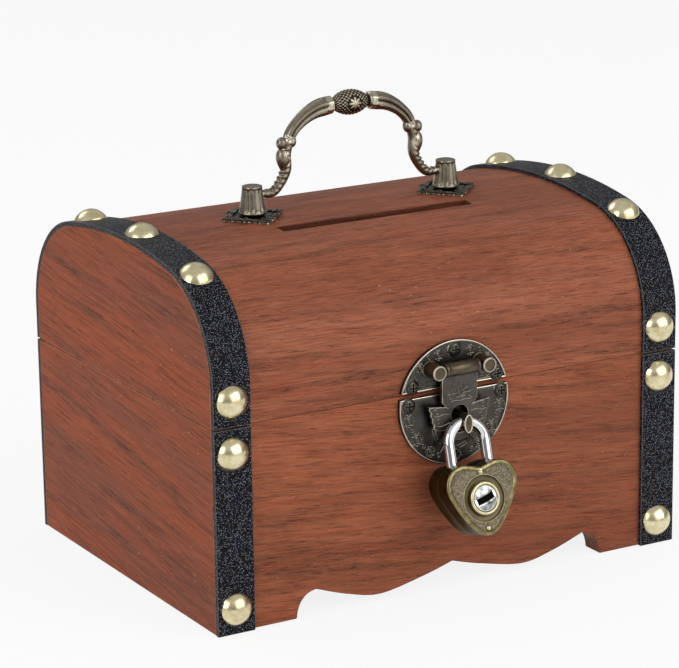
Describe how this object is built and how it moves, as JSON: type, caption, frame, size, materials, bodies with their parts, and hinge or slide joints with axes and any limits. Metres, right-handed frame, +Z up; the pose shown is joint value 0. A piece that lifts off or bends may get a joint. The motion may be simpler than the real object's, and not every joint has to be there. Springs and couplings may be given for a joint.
{
  "type": "wooden money box",
  "caption": "Domed wooden money box with coin slot, strapped ends, bail handle, hinged lid, hasp latch and a hanging heart padlock.",
  "frame": {"origin": "bottom centre of the whole closed box, padlock and tacks included", "axes": "+X to the right along the width, +Y to the back, +Z up; the latch faces -Y"},
  "size_m": [0.145, 0.1278, 0.1285],
  "materials": {
    "stained_wood": "reddish brown stained open-pored wood, satin",
    "leatherette": "black pebbled leatherette",
    "tack_brass": "polished pale brass",
    "antique_bronze": "dark antique bronze plating with worn bright edges",
    "antique_brass": "antique brass, worn high spots",
    "chrome": "polished chrome",
    "steel": "plain steel"
  },
  "bodies": {
    "box": {"front_panel": "stained_wood", "back_panel": "stained_wood", "bottom_panel": "stained_wood", "left_side": "stained_wood", "front_left_strap": "leatherette", "back_left_strap": "leatherette", "right_side": "stained_wood", "front_right_strap": "leatherette", "back_right_strap": "leatherette", "box_tacks": "tack_brass", "lower_latch_plate": "antique_bronze", "staple": "antique_bronze", "box_latch_screws": "antique_bronze", "left_hinge_box_leaf": "antique_bronze", "left_hinge_pin": "antique_bronze", "right_hinge_box_leaf": "antique_bronze", "right_hinge_pin": "antique_bronze", "box_hinge_screws": "antique_bronze"},
    "lid": {"lid_skin": "stained_wood", "lid_left_end": "stained_wood", "lid_left_strap": "leatherette", "lid_right_end": "stained_wood", "lid_right_strap": "leatherette", "lid_tacks": "tack_brass", "upper_latch_plate": "antique_bronze", "hasp_pin": "steel", "lid_latch_screws": "antique_bronze", "left_hinge_lid_leaf": "antique_bronze", "right_hinge_lid_leaf": "antique_bronze", "lid_hinge_screws": "antique_bronze", "left_rosette": "antique_bronze", "left_handle_post": "antique_bronze", "right_rosette": "antique_bronze", "right_handle_post": "antique_bronze", "handle_screws": "steel"},
    "hasp": {"hasp": "antique_bronze"},
    "handle": {"handle_bail": "antique_bronze"},
    "shackle": {"padlock_shackle": "chrome"},
    "padlock": {"padlock_front_shell": "antique_brass", "padlock_back_shell": "antique_brass", "padlock_bezel": "antique_brass", "padlock_rivets": "antique_brass", "padlock_spring": "steel"},
    "plug": {"padlock_plug": "chrome"},
    "bolt": {"padlock_bolt": "steel"}
  },
  "joints": [
    {"name": "lid_open", "type": "hinge", "parent": "box", "child": "lid", "pos_m": [0, 0.06144, 0.056], "axis": [-1, 0, 0], "range_deg": [0, 130]},
    {"name": "hasp_lift", "type": "hinge", "parent": "lid", "child": "hasp", "pos_m": [0, -0.04976, 0.0626], "axis": [-1, 0, 0], "range_deg": [0, 154]},
    {"name": "handle_swing", "type": "hinge", "parent": "lid", "child": "handle", "pos_m": [0, 0.00734, 0.1024], "axis": [1, 0, 0], "range_deg": [-100, 100]},
    {"name": "padlock_swing", "type": "hinge", "parent": "box", "child": "shackle", "pos_m": [0, -0.05106, 0.048], "axis": [-1, 0, 0], "range_deg": [-13, 85]},
    {"name": "padlock_drop", "type": "slide", "parent": "shackle", "child": "padlock", "axis": [0, -0.2672, -0.9636], "range_m": [0, 0.0068]},
    {"name": "plug_turn", "type": "hinge", "parent": "padlock", "child": "plug", "pos_m": [0, -0.05657, 0.02815], "axis": [0, 0.9636, -0.2672], "range_deg": [0, 90]},
    {"name": "bolt_slide", "type": "slide", "parent": "padlock", "child": "bolt", "axis": [1, 0, 0], "range_m": [0, 0.00283]}
  ],
  "couplings": [
    {"joint": "hasp_lift", "follows": "lid_open", "ratio": 1.1846},
    {"joint": "plug_turn", "follows": "padlock_drop", "rad_per_m": 231},
    {"joint": "bolt_slide", "follows": "padlock_drop", "ratio": 0.41594}
  ]
}
